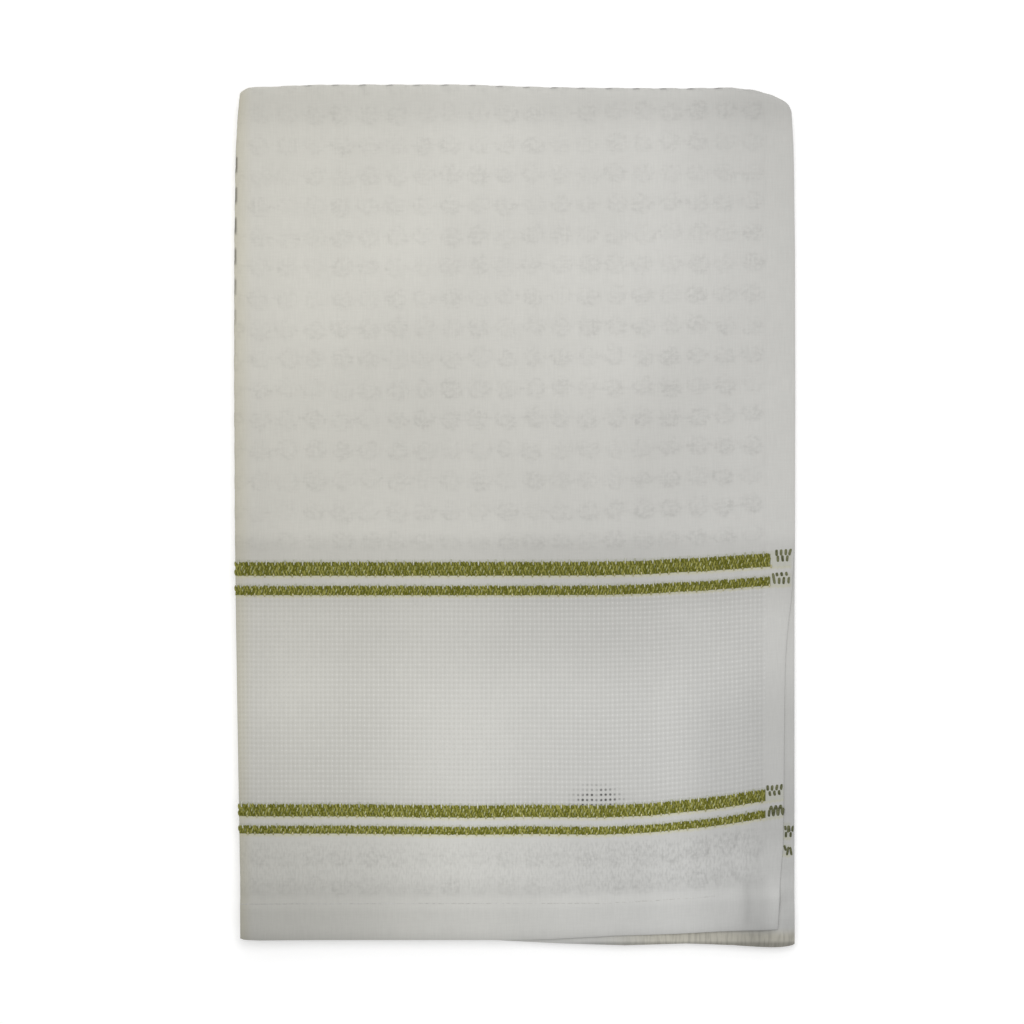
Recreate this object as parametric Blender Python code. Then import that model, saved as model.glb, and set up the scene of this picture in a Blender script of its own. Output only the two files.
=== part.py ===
"""Tea towel: one woven cotton cloth with a hem at each end, folded in four and laid flat.

The cloth is first folded in half along its length, which makes the left edge, and then in
half across, which makes the top edge. Four plies lie on each other: the front ply, the
second ply, and two back plies. The two folds are closed noses, and the cloth is one body.

Frame, in metres: origin at the middle of the underside, +X to the selvedges, +Y to the
fold at the top, +Z up. Sizes below are in millimetres and MM turns them into metres.
"""
import math
from bisect import bisect_right
from collections import namedtuple

import bmesh
import bpy

MM = 0.001

# The cloth
CLOTH_THICK = 1.0
HEM_THICK = 1.4          # the turned layers are pressed thinner than the woven relief
HEM_DEPTH = 14.0
HEM_RAMP = 5.0           # the plies' hems don't lie exactly on each other
COTTON = (0.62, 0.61, 0.57, 1.0)

# The folded cloth
FOLDED_WIDTH = 210.5
FOLDED_LENGTH = 324.2
PLY_PITCH = 1.5          # from ply to ply before the gaps are made uneven
PLY_GAP = 0.38           # between two plies that lie flat on each other
BACK_INSET = 1.2         # the back plies' edges lie this far inside the second ply's

# The folds: how long each nose is, and how far it springs the plies apart
SIDE_NOSE = 5.0
TOP_NOSE = 3.2
NOSE_STEPS = 8
SIDE_SPRING = 0.9
TOP_SPRING = 1.3
SPRING_REACH = 22.0
CORNER_LIFT = 0.7        # the front ply's free corner stands off the second ply
UNEVEN = 0.13            # slow waves in each gap between plies

# The side edges, a row for each place down the cloth: x of the left fold, of the front
# ply's selvedge and of the second ply's selvedge. The front ply draws in below its middle.
Side = namedtuple("Side", "down fold front second")
SIDES = (
    Side(down=0.0, fold=-103.0, front=104.0, second=104.0),
    Side(down=13.5, fold=-104.1, front=104.8, second=104.8),
    Side(down=25.0, fold=-104.7, front=105.1, second=105.1),
    Side(down=58.5, fold=-105.2, front=105.5, second=105.5),
    Side(down=110.0, fold=-105.3, front=105.6, second=105.6),
    Side(down=164.0, fold=-105.0, front=105.5, second=105.6),
    Side(down=176.0, fold=-104.9, front=105.1, second=105.5),
    Side(down=194.0, fold=-104.7, front=104.1, second=105.4),
    Side(down=204.0, fold=-104.6, front=102.9, second=105.4),
    Side(down=216.0, fold=-104.4, front=102.0, second=105.4),
    Side(down=231.0, fold=-104.2, front=101.6, second=105.4),
    Side(down=269.0, fold=-103.6, front=101.3, second=105.4),
    Side(down=292.0, fold=-103.2, front=101.0, second=105.4),
    Side(down=304.0, fold=-103.0, front=100.0, second=105.4),
    Side(down=324.2, fold=-102.9, front=98.9, second=105.4),
)

# The ends, a row for each place across the cloth: y of the fold at the top, of the front
# ply's hem and of the second ply's hem. The top fold droops at its open end, and the
# front hem rises to the right, where the second ply shows below it.
End = namedtuple("End", "across fold front second")
ENDS = (
    End(across=0.0, fold=159.9, front=-158.7, second=-158.3),
    End(across=3.0, fold=161.2, front=-159.0, second=-158.5),
    End(across=8.0, fold=161.3, front=-159.2, second=-158.7),
    End(across=30.0, fold=162.2, front=-159.2, second=-158.7),
    End(across=85.0, fold=162.3, front=-159.2, second=-158.9),
    End(across=102.0, fold=161.7, front=-159.2, second=-159.8),
    End(across=122.0, fold=161.2, front=-158.8, second=-160.8),
    End(across=146.0, fold=161.0, front=-157.6, second=-161.5),
    End(across=170.0, fold=160.9, front=-156.9, second=-160.8),
    End(across=188.0, fold=161.2, front=-155.9, second=-161.5),
    End(across=196.0, fold=160.2, front=-155.6, second=-162.1),
    End(across=203.0, fold=158.5, front=-155.5, second=-162.3),
    End(across=207.0, fold=156.6, front=-155.4, second=-162.1),
    End(across=209.3, fold=155.2, front=-155.3, second=-161.6),
    End(across=210.5, fold=153.2, front=-155.2, second=-161.0),
)

# Where the mesh has its lines: close together at folds, hems and rounded corners
COLUMNS_ACROSS = (9, 19, 36, 54, 72, 90, 108, 126, 144, 162, 177, 188, 196, 201,
                  205, 208, 209.6, 210.5)
ROWS_DOWN = (8, 19, 36, 54, 74, 96, 118, 140, 158, 173, 186, 199, 216, 238, 260,
             282, 298, 307.7, 310.2, 312.7, 318, 324.2)

# Faces of the four plies on the unit stack, from the underside up, and the ply of each
FACE_LEVELS = tuple(
    PLY_PITCH * (ply - 1.5) + side * CLOTH_THICK / 2 for ply in range(4) for side in (-1, 1)
)
FACE_PLIES = tuple(ply for ply in range(4) for side in (-1, 1))
FIRST_BACK, SECOND_BACK, SECOND, FRONT = range(4)


def between(value, places, results):
    """Straight-line reading of a table; outside its ends it keeps the end value."""
    value = min(max(value, places[0]), places[-1])
    row = min(bisect_right(places, value), len(places) - 1)
    share = (value - places[row - 1]) / (places[row] - places[row - 1])
    return results[row - 1] * (1 - share) + results[row] * share


def smooth(share):
    share = min(max(share, 0.0), 1.0)
    return share * share * (3 - 2 * share)


def fold_in_half(turn, reach, offset, nose, half_height):
    """A point of a sheet folded round a nose: its distance from the fold's far edge and
    its height. turn is 90 on the upper half and -90 on the lower one, where reach goes
    on from the nose; between them it runs round the nose. offset is across the sheet.
    """
    angle = math.radians(turn)
    return reach - (nose + offset) * math.cos(angle), (half_height + offset) * math.sin(angle)


def fold_lines(reaches, start):
    """Mesh lines along a folded sheet, as (turn, reach), from its upper to its lower end."""
    flat = [reach - start for reach in reaches if reach > start]
    turns = [90 - 180 * step / NOSE_STEPS for step in range(NOSE_STEPS + 1)]
    upper = [(90, reach) for reach in reversed(flat)]
    return upper + [(turn, 0.0) for turn in turns] + [(-90, reach) for reach in flat]


def ply_place(level, of_ply):
    """Reads a value that each ply has for itself at a level of the unit stack."""
    return between(level, FACE_LEVELS, [of_ply[ply] for ply in FACE_PLIES])


def outline(across, down, level):
    """x and y, in mm, of a point of the folded cloth, from its distances from the folds."""
    side = [between(down, [row.down for row in SIDES], [getattr(row, name) for row in SIDES])
            for name in ("fold", "front", "second")]
    end = [between(across, [row.across for row in ENDS], [getattr(row, name) for row in ENDS])
           for name in ("fold", "front", "second")]
    back_x, back_y = side[2] - BACK_INSET, end[2] + BACK_INSET
    edge_x = ply_place(level, {FRONT: side[1], SECOND: side[2],
                               SECOND_BACK: back_x, FIRST_BACK: back_x})
    edge_y = ply_place(level, {FRONT: end[1], SECOND: end[2],
                               SECOND_BACK: back_y, FIRST_BACK: back_y})
    x = side[0] + (edge_x - side[0]) * across / FOLDED_WIDTH
    y = end[0] + (edge_y - end[0]) * down / FOLDED_LENGTH
    return x, y


def ply_gaps(across, down):
    """The three gaps between the plies, from the bottom up, at a place of the cloth."""
    side_spring = SIDE_SPRING * math.exp(-across / SPRING_REACH)
    top_spring = TOP_SPRING * math.exp(-down / SPRING_REACH)
    corner = CORNER_LIFT * smooth((across - 150) / 60) * smooth((down - 200) / 110)
    waves = [UNEVEN * math.sin(across / 31 + 1.7 * gap) * math.cos(down / 43 + 2.3 * gap)
             for gap in range(3)]
    return (
        PLY_GAP + waves[0] + side_spring,
        PLY_GAP + waves[1] + top_spring,
        PLY_GAP + waves[2] + side_spring + corner,
    )


def height(across, down, level):
    """Height above the table of a point of the unit stack, with the real gaps and hems."""
    hem_start = FOLDED_LENGTH - HEM_DEPTH - HEM_RAMP / 2
    thick = CLOTH_THICK + (HEM_THICK - CLOTH_THICK) * smooth((down - hem_start) / HEM_RAMP)
    faces = [0.0, thick]
    for gap in ply_gaps(across, down):
        faces.append(faces[-1] + gap)
        faces.append(faces[-1] + thick)
    return between(level, FACE_LEVELS, faces)


def cloth_point(column, row, offset):
    """A point of the cloth's outer (offset > 0) or inner face, in metres."""
    side_start = SIDE_NOSE + CLOTH_THICK / 2
    top_start = TOP_NOSE + PLY_PITCH / 2 + CLOTH_THICK / 2
    across, sheet = fold_in_half(*column, offset, SIDE_NOSE, PLY_PITCH / 2)
    down, level = fold_in_half(*row, sheet, TOP_NOSE, PLY_PITCH)
    across += side_start
    down += top_start
    x, y = outline(across, down, level)
    return x * MM, y * MM, height(across, down, level) * MM


def towel_mesh():
    """One closed shell: the outer face, the inner face and the four edges between them."""
    columns = fold_lines(COLUMNS_ACROSS, SIDE_NOSE + CLOTH_THICK / 2)
    rows = fold_lines(ROWS_DOWN, TOP_NOSE + PLY_PITCH / 2 + CLOTH_THICK / 2)
    shell = bmesh.new()
    outer, inner = [
        [[shell.verts.new(cloth_point(column, row, offset)) for column in columns]
         for row in rows]
        for offset in (CLOTH_THICK / 2, -CLOTH_THICK / 2)
    ]
    for face in (outer, inner):
        for upper, lower in zip(face, face[1:]):
            for i in range(len(columns) - 1):
                shell.faces.new((upper[i], upper[i + 1], lower[i + 1], lower[i]))
    edges = (
        (outer[0], inner[0]),
        (outer[-1], inner[-1]),
        ([row[0] for row in outer], [row[0] for row in inner]),
        ([row[-1] for row in outer], [row[-1] for row in inner]),
    )
    for outside, inside in edges:
        for i in range(len(outside) - 1):
            shell.faces.new((outside[i], outside[i + 1], inside[i + 1], inside[i]))
    bmesh.ops.recalc_face_normals(shell, faces=shell.faces)
    mesh = bpy.data.meshes.new("towel_cloth")
    shell.to_mesh(mesh)
    shell.free()
    return mesh


def cotton():
    """Bleached cotton, matt."""
    material = bpy.data.materials.new("cotton")
    material.use_nodes = True
    shader = material.node_tree.nodes["Principled BSDF"]
    shader.inputs["Base Color"].default_value = COTTON
    shader.inputs["Roughness"].default_value = 0.9
    shader.inputs["Metallic"].default_value = 0.0
    return material


for old in list(bpy.data.objects):
    bpy.data.objects.remove(old, do_unlink=True)

towel = bpy.data.objects.new("towel_cloth", towel_mesh())
bpy.context.scene.collection.objects.link(towel)
towel.data.materials.append(cotton())
towel.data.shade_smooth()
towel.data.set_sharp_from_angle(angle=math.radians(40))
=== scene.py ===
import math
from collections import namedtuple
from types import SimpleNamespace

import bmesh
import bpy
import numpy as np
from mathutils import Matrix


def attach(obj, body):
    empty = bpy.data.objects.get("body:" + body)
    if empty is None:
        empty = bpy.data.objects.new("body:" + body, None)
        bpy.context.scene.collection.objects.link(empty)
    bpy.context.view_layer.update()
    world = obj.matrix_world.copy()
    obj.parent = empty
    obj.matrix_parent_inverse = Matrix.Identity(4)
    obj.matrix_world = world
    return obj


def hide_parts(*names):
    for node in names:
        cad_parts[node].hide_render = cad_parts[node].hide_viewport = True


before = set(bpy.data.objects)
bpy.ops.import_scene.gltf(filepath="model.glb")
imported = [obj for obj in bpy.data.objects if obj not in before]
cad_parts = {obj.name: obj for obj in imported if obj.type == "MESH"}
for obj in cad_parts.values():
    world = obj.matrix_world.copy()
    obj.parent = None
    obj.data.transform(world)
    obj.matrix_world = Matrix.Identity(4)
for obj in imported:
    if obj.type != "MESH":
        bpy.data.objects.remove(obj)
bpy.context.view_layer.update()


# ------------------------------------------------------------------ the towel cloth
# One cotton cloth, woven with a raised huck pattern and turned up in a hem at each end.
# It is folded in half along its length, which makes the left edge, and then in half
# across, which makes the top edge. Its sizes, in millimetres, are those of the CAD.

MM = 0.001
CLOTH_THICK = 1.0
HEM_THICK = 1.4
HEM_DEPTH = 14.0
HEM_RAMP = 5.0
FOLDED_WIDTH = 210.5
FOLDED_LENGTH = 324.2
PLY_PITCH = 1.5
PLY_GAP = 0.38
BACK_INSET = 1.2
SIDE_NOSE = 5.0
TOP_NOSE = 3.2
SIDE_SPRING = 0.9
TOP_SPRING = 1.3
SPRING_REACH = 22.0
CORNER_LIFT = 0.7
UNEVEN = 0.13
SELVEDGE_DOWN, LYING_DOWN = 0.85, 9.0    # not in the CAD: share of its gap that the front
                                         # selvedge closes, over so many mm
SIDE_START = SIDE_NOSE + CLOTH_THICK / 2
TOP_START = TOP_NOSE + PLY_PITCH / 2 + CLOTH_THICK / 2
SIDE_HIGH = PLY_PITCH / 2 + CLOTH_THICK / 2
TOP_HIGH = PLY_PITCH + SIDE_HIGH
LEFT, TOP = -105.3, 162.1      # x and y from which places on the cloth are counted

# x of the side fold and of the two upper plies' selvedges, and y of the top fold and of
# their hems, at places down and across the cloth
Side = namedtuple("Side", "down fold front second")
SIDES = [Side(*row) for row in (
    (0.0, -103.0, 104.0, 104.0),
    (13.5, -104.1, 104.8, 104.8),
    (25.0, -104.7, 105.1, 105.1),
    (58.5, -105.2, 105.5, 105.5),
    (110.0, -105.3, 105.6, 105.6),
    (164.0, -105.0, 105.5, 105.6),
    (176.0, -104.9, 105.1, 105.5),
    (194.0, -104.7, 104.1, 105.4),
    (204.0, -104.6, 102.9, 105.4),
    (216.0, -104.4, 102.0, 105.4),
    (231.0, -104.2, 101.6, 105.4),
    (269.0, -103.6, 101.3, 105.4),
    (292.0, -103.2, 101.0, 105.4),
    (304.0, -103.0, 100.0, 105.4),
    (324.2, -102.9, 98.9, 105.4),
)]
End = namedtuple("End", "across fold front second")
ENDS = [End(*row) for row in (
    (0.0, 159.9, -158.7, -158.3),
    (3.0, 161.2, -159.0, -158.5),
    (8.0, 161.3, -159.2, -158.7),
    (30.0, 162.2, -159.2, -158.7),
    (85.0, 162.3, -159.2, -158.9),
    (102.0, 161.7, -159.2, -159.8),
    (122.0, 161.2, -158.8, -160.8),
    (146.0, 161.0, -157.6, -161.5),
    (170.0, 160.9, -156.9, -160.8),
    (188.0, 161.2, -155.9, -161.5),
    (196.0, 160.2, -155.6, -162.1),
    (203.0, 158.5, -155.5, -162.3),
    (207.0, 156.6, -155.4, -162.1),
    (209.3, 155.2, -155.3, -161.6),
    (210.5, 153.2, -155.2, -161.0),
)]

# The weft isn't straight: towards the selvedge each pick rises, by so much at the body,
# at the two pairs of stripes and at the hem. On the second ply it sinks instead.
Rise = namedtuple("Rise", "across body upper lower hem")
RISES = [Rise(*row) for row in (
    (0.0, 0.0, 0.2, 1.3, 0.0),
    (8.0, 0.0, 0.0, 0.25, 0.0),
    (43.0, 0.0, 0.0, 0.15, 0.0),
    (90.0, 0.7, 0.0, -0.42, 0.1),
    (110.0, 1.0, 0.0, -0.1, 0.1),
    (137.0, 1.3, 0.1, -0.42, 0.2),
    (156.0, 1.6, 0.6, 0.35, 1.1),
    (167.0, 1.8, 1.3, 1.52, 1.9),
    (175.0, 1.9, 1.6, 2.33, 2.4),
    (182.0, 2.1, 2.1, 3.23, 2.9),
    (188.0, 2.1, 2.5, 4.1, 3.2),
    (194.0, 2.2, 3.0, 5.3, 3.4),
    (201.0, 2.3, 3.4, 6.35, 3.6),
    (208.0, 2.3, 3.9, 7.05, 3.8),
)]
RISE_PLACES = (90.0, 184.0, 277.0, 308.0)      # v of the four
SECOND_SINK = 7.9

FACE_LEVELS = [PLY_PITCH * (ply - 1.5) + side * CLOTH_THICK / 2
               for ply in range(4) for side in (-1, 1)]


def read(table, place, column):
    """Straight-line reading of a column of a table, at many places."""
    return np.interp(place, [row[0] for row in table], [getattr(row, column) for row in table])


def ramp(value, start, end):
    """0 before start, 1 after end, and a soft slope between them."""
    share = np.clip((value - start) / (end - start), 0, 1)
    return share * share * (3 - 2 * share)


def by_ply(level, back, second, front):
    """The value of the ply that a level of the unit stack is in, blended in the gaps."""
    to_second = np.clip(level / 0.5 + 0.5, 0, 1)
    to_front = np.clip((level - 1.25) / 0.5, 0, 1)
    return back + (second - back) * to_second + (front - second) * to_front


def edges(across, down, level):
    """x of the left fold and of the ply's selvedge, y of the top fold and of its hem."""
    second_x, second_y = read(SIDES, down, "second"), read(ENDS, across, "second")
    edge_x = by_ply(level, second_x - BACK_INSET, second_x, read(SIDES, down, "front"))
    edge_y = by_ply(level, second_y + BACK_INSET, second_y, read(ENDS, across, "front"))
    return read(SIDES, down, "fold"), edge_x, read(ENDS, across, "fold"), edge_y


def spread(limits, across, down):
    """x and y of a place between the limits that edges gives."""
    fold_x, edge_x, fold_y, edge_y = limits
    return (fold_x + (edge_x - fold_x) * across / FOLDED_WIDTH,
            fold_y + (edge_y - fold_y) * down / FOLDED_LENGTH)


def rise_at(across, down, level):
    """How far the weft lies above its straight line."""
    columns = [read(RISES, across, name) for name in ("body", "upper", "lower", "hem")]
    rise = columns[0]
    for before, after, low, high in zip(RISE_PLACES, RISE_PLACES[1:], columns, columns[1:]):
        rise = rise + (high - low) * np.clip((down - before) / (after - before), 0, 1)
    sink = -SECOND_SINK * ramp(across, 60, 205)
    return by_ply(level, 0.0 * rise, sink * np.clip(down / 100, 0, 1), rise)


def height(across, down, level):
    """Height above the table of a point of the unit stack, with the real gaps and hems.
    The front ply's selvedge lies down on the second ply."""
    hem_start = FOLDED_LENGTH - HEM_DEPTH - HEM_RAMP / 2
    thick = CLOTH_THICK + (HEM_THICK - CLOTH_THICK) * ramp(down, hem_start, hem_start + HEM_RAMP)
    side_spring = SIDE_SPRING * np.exp(-across / SPRING_REACH)
    top_spring = TOP_SPRING * np.exp(-down / SPRING_REACH)
    corner = CORNER_LIFT * ramp(across, 150, 210) * ramp(down, 200, 310)
    waves = [UNEVEN * np.sin(across / 31 + 1.7 * gap) * np.cos(down / 43 + 2.3 * gap)
             for gap in range(3)]
    gaps = (PLY_GAP + waves[0] + side_spring, PLY_GAP + waves[1] + top_spring,
            (PLY_GAP + waves[2] + side_spring + corner) *
            (1 - SELVEDGE_DOWN * ramp(across, FOLDED_WIDTH - LYING_DOWN, FOLDED_WIDTH)))
    steps = [thick, gaps[0], thick, gaps[1], thick, gaps[2], thick]
    z = np.minimum(level - FACE_LEVELS[0], 0) + np.maximum(level - FACE_LEVELS[-1], 0)
    for low, high, step in zip(FACE_LEVELS, FACE_LEVELS[1:], steps):
        z = z + step * np.clip((level - low) / (high - low), 0, 1)
    return z


# The raised weave of the body: cells of six blocks each way. Each has a puff of loose
# floats, shaped like an eye, with a fine furrow to the next puff and a flat pad between.
CELL_ACROSS, CELL_DOWN = 10.28, 11.44
FIRST_PUFF = (194.8, 11.8)      # centre, counted from LEFT and TOP
LOWER_PUFF = 290.1              # the first row of puffs below the stripes
BODY_END, LOWER_START, LOWER_END = 176.5, 284.5, 306.0
BODY_SIDE = 199.5               # past it the selvedge is plain
PUFF_HALF = (0.36, 0.29)        # of a cell
PUFF_LOFT, RIM_DEPTH, FURROW_DEPTH = 0.15, 0.06, 0.07
CHANCE_ROWS, CHANCE_SIZE = 48, 64    # after so many the chance values come again

weave_chance = np.random.default_rng(14)
puff_fullness = weave_chance.uniform(0.5, 1.2, (CHANCE_ROWS, CHANCE_SIZE))
puff_shift = weave_chance.normal(0, 0.03, (2, CHANCE_ROWS, CHANCE_SIZE))
uneven_grid = weave_chance.uniform(-1, 1, (CHANCE_SIZE, CHANCE_SIZE))


def unevenness(x, y):
    """Soft chance bumps between -1 and 1, one grid step apart."""
    column, row = np.floor(x), np.floor(y)
    s, t = x - column, y - row
    s, t = s * s * (3 - 2 * s), t * t * (3 - 2 * t)
    left, right = (column.astype(int) + i for i in (0, 1))
    near, far = (uneven_grid[line % CHANCE_SIZE, left % CHANCE_SIZE] * (1 - s) +
                 uneven_grid[line % CHANCE_SIZE, right % CHANCE_SIZE] * s
                 for line in (row.astype(int), row.astype(int) + 1))
    return near * (1 - t) + far * t


def body_weave(u, v):
    """Raised height, in mm, of the huck weave at places u, v, and its painted shade, 0 to 1,
    darkening the puffs, their rims and furrows where their shadow falls.
    """
    start = np.where(v > LOWER_START - 3, LOWER_PUFF, FIRST_PUFF[1])
    column = np.round((u - FIRST_PUFF[0]) / CELL_ACROSS)
    row = np.round((v - start) / CELL_DOWN)
    at = (row.astype(int) % CHANCE_ROWS, column.astype(int) % CHANCE_SIZE)
    s = (u - FIRST_PUFF[0]) / CELL_ACROSS - column + puff_shift[0][at]
    t = (v - start) / CELL_DOWN - row + puff_shift[1][at]
    r = np.hypot(s / PUFF_HALF[0], t / PUFF_HALF[1]) + 0.16 * unevenness(u / 1.9, v / 1.7)
    full = puff_fullness[at] * (0.65 + 0.35 * np.clip(u / 200, 0, 1))
    dome = np.clip(1 - r * r, 0, 1) ** 0.5 * full * (1 + 0.25 * unevenness(u / 1.1, v / 1.6 + 9))
    broken = 0.55 + 0.9 * unevenness(u / 3.1 + 20, v / 2.3) + 0.35 * (t > 0) - 0.3 * s
    broken = np.clip(broken, 0, 1.3)
    rim = np.exp(-((r - 1.02) / 0.22) ** 2) * broken * (0.6 + 0.4 * full)
    disc = (1 - ramp(r, 0.75, 1.15)) * full * (0.9 + 0.5 * unevenness(u / 2.7 + 40, v / 2.4))
    furrow = np.exp(-((t + 0.05 * unevenness(u / 4, v / 9)) / 0.04) ** 2)
    furrow = furrow * ramp(np.abs(s), 0.27, 0.40) * (0.6 + 0.5 * unevenness(u / 6.3, v / 5))
    here = (1 - ramp(v, BODY_END - 4, BODY_END)) + ramp(v, LOWER_START, LOWER_START + 3)
    here *= (1 - ramp(v, LOWER_END - 3, LOWER_END)) * (1 - ramp(u, BODY_SIDE - 1, BODY_SIDE + 1))
    raised = PUFF_LOFT * dome - RIM_DEPTH * rim - FURROW_DEPTH * furrow
    # painted shade: the puffs' discs, rims and furrows are darkened as the shadow among their
    # loose floats
    puff_shade = np.clip((0.6 * disc + 0.45 * rim + 0.55 * furrow) * (1 + 0.2 * ramp(v, 70, 100)), 0, 1)
    return raised * here, puff_shade * here


# Creases and pulls: soft troughs (depth above 0) and ridges, listed from what shows. Each starts
# at u and leans by so many mm for each mm down.
Crease = namedtuple("Crease", "u v_start v_end lean width depth")
CREASES = [Crease(*row) for row in (
    (192.6, 303.0, 319.0, 0.03, 1.2, 0.32),
    (194.0, 300.0, 321.0, 0.02, 3.6, 0.22),
    (186.0, 305.0, 320.0, 0.05, 4.0, -0.22),
    (200.0, 296.0, 324.0, 0.00, 3.0, -0.10),
    (128.4, 284.0, 294.0, 0.02, 0.5, 0.16),
    (141.0, 283.0, 300.0, 0.12, 1.4, 0.12),
    (152.0, 286.0, 306.0, -0.10, 1.6, 0.12),
    (163.0, 284.0, 298.0, 0.15, 1.2, 0.10),
    (174.5, 284.0, 303.0, -0.12, 1.5, 0.13),
    (118.0, 285.0, 297.0, 0.08, 1.1, 0.10),
    (177.4, 287.0, 293.5, 0.08, 0.7, 0.60),
    (189.4, 283.5, 289.5, -0.20, 0.7, 0.50),
    (186.6, 298.0, 303.5, 0.60, 0.8, 0.55),
    (181.0, 299.0, 304.0, 0.10, 0.7, 0.45),
    (196.8, 292.0, 298.0, -0.10, 0.7, 0.40),
    (199.4, 10.0, 300.0, 0.00, 0.7, 0.09),
)]

# painted shade in the creases
CREASE_SHADE = 0.35             # for each mm of depth


def pulled(u, v):
    """Height of the creases, and of the fine puckers that the hem's stitching draws in, and the
    painted shade in the creases, 0 to 1."""
    height = 0.05 * unevenness(u / 1.3, v / 14 + 3) * ramp(v, 306, 309) * ramp(u, 60, 130)
    height = height + 0.05 * unevenness(u / 2.2 + 7, v / 9) * ramp(v, 284, 290) * ramp(u, 90, 140)
    shaded = 0.0
    for crease in CREASES:
        middle = crease.u + crease.lean * (v - crease.v_start)
        along = ramp(v, crease.v_start - 2, crease.v_start + 3) * \
            (1 - ramp(v, crease.v_end - 3, crease.v_end + 2))
        depth = crease.depth * along * np.exp(-((u - middle) / crease.width) ** 2)
        height, shaded = height - depth, shaded + CREASE_SHADE * np.clip(depth, 0, 1)
    return height, shaded


def painted_recess_shade(turn_1, turn_2, u, v):
    """Painted shade, 0 to 1, in the gaps that open between puffs along the two folds."""
    t = (v - FIRST_PUFF[1]) / CELL_DOWN
    between = ramp(np.abs(t - np.round(t) - 0.12), 0.17, 0.30)
    left = ramp(turn_1, 40, 24) * between * (1 - ramp(v, 60, 110)) * ramp(v, 20, 26)
    s = (u - FIRST_PUFF[0]) / CELL_ACROSS
    gap = ramp(np.abs(s - np.round(s) + 0.27), 0.17, 0.08)
    top = ramp(turn_2, 42, 26) * gap * ramp(u, 20, 28) * (1 - ramp(u, 185, 195))
    left, top = left * ramp(turn_1, -8, 4), top * ramp(turn_2, 0, 9)
    return np.clip(left + 0.75 * top, 0, 1)


def round_share(turn, long, high):
    """How much of a fold's rounding lies between its tip and a turn, -1 to 1 along it."""
    steps = np.arange(91.0)
    pace = np.hypot(long * np.sin(np.radians(steps)), high * np.cos(np.radians(steps)))
    run = np.concatenate([[0], np.cumsum((pace[1:] + pace[:-1]) / 2)])
    return np.sign(turn) * np.interp(np.abs(turn), steps, run / run[-1])


def lay(turn_1, reach_1, turn_2, reach_2, offset, relief=False):
    """Lays points of the cloth in the fold. turn and reach say where they are along it
    (90 degrees before a fold, -90 after it), offset how far from its middle surface.
    Returns x, y, z and the place u, v on the cloth, all in mm, and the painted shade of the puffs
    there and of the open recesses and creases, both 0 to 1."""
    sin_1, cos_1 = np.sin(np.radians(turn_1)), np.cos(np.radians(turn_1))
    sin_2, cos_2 = np.sin(np.radians(turn_2)), np.cos(np.radians(turn_2))
    flat_across, flat_down = SIDE_START + reach_1, TOP_START + reach_2
    flat_level = sin_2 * (PLY_PITCH + sin_1 * PLY_PITCH / 2)
    x, y = spread(edges(flat_across - SIDE_START * cos_1, flat_down - TOP_START * cos_2,
                        flat_level), flat_across, flat_down)
    u = round_share(turn_1, SIDE_START, SIDE_HIGH) * (x - LEFT)
    v = round_share(turn_2, TOP_START, TOP_HIGH) * (TOP - y) + \
        rise_at(x - LEFT, TOP - y, flat_level)
    puff_shade, recess_shade = np.zeros_like(u), np.zeros_like(u)
    if relief:
        raised, puff_shade = body_weave(u, v)
        upper = ramp(sin_1, -0.7, 0.2) * ramp(sin_2, -0.7, 0.2)
        drawn, shaded = pulled(u, v)
        offset = offset + (raised + drawn) * upper
        # painted shade in the open gaps along the folds and in the creases
        recess_shade = np.clip(painted_recess_shade(turn_1, turn_2, u, v) + shaded, 0, 1) * upper
    across = SIDE_START + reach_1 - (SIDE_NOSE + offset) * cos_1
    sheet = (PLY_PITCH / 2 + offset) * sin_1
    down = TOP_START + reach_2 - (TOP_NOSE + sheet) * cos_2
    level = (PLY_PITCH + sheet) * sin_2
    x, y = spread(edges(across, down, level), across, down)
    return x, y, height(across, down, level), u, v, puff_shade, recess_shade


def mesh_lines(upper, lower, nose_steps, start):
    """Turns and reaches of the mesh lines along the cloth, from its upper ply's free edge
    round the fold to its lower ply's."""
    turns = [90 - 180 * step / nose_steps for step in range(nose_steps + 1)]
    turn = [90] * len(upper) + turns + [-90] * len(lower)
    reach = list(upper[::-1]) + [0.0] * len(turns) + list(lower)
    return np.array(turn, float), np.array(reach, float) - np.where(np.array(reach) > 0, start, 0)


def edge_round(places, end, start):
    """Mesh lines near a free edge, close enough together to round it."""
    inner = places[(places > start + 0.2) & (places < end - 1.2)]
    return np.concatenate([inner, end - np.array([1.0, 0.55, 0.28, 0.1, 0.0])])


COLUMN_STEP, ROW_STEP = CELL_ACROSS / 12, CELL_DOWN / 12
BAND_STEP, HEM_STEP, BACK_STEP, NOSE_STEPS = 3.4, 1.1, 13.0, 14
SELVEDGE_ROUND, HEM_ROUND = 3.0, 3.5    # how far from its edge a ply starts to thin
INNER_EVERY = 5                 # of the outer face's lines the inner face keeps every so many
SHARP_ANGLE = 55                # degrees, past which an edge isn't shaded smooth
SECOND_COLUMNS = (9, 14, 21, 30, 42, 55, 68, 81, 94, 107, 120, 133, 146, 158, 169, 179, 187,
                  193, 198, 202, 205, 207.5)

front_columns, second_columns = (edge_round(places, FOLDED_WIDTH, SIDE_START) for places in (
    np.arange(SIDE_START, FOLDED_WIDTH, COLUMN_STEP), np.array(SECOND_COLUMNS)))
front_rows, back_rows = (
    edge_round(np.concatenate(places), FOLDED_LENGTH, TOP_START) for places in (
        (np.arange(TOP_START, 180.0, ROW_STEP), np.arange(181.0, 283.0, BAND_STEP),
         np.arange(284.0, 307.0, ROW_STEP), np.arange(307.0, FOLDED_LENGTH, HEM_STEP)),
        ((8, 13, 20), np.arange(30.0, 300.0, BACK_STEP), (304, 307, 310, 313, 318))))
column_turn, column_reach = mesh_lines(front_columns, second_columns, NOSE_STEPS, SIDE_START)
row_turn, row_reach = mesh_lines(front_rows, back_rows, NOSE_STEPS, TOP_START)


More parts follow.
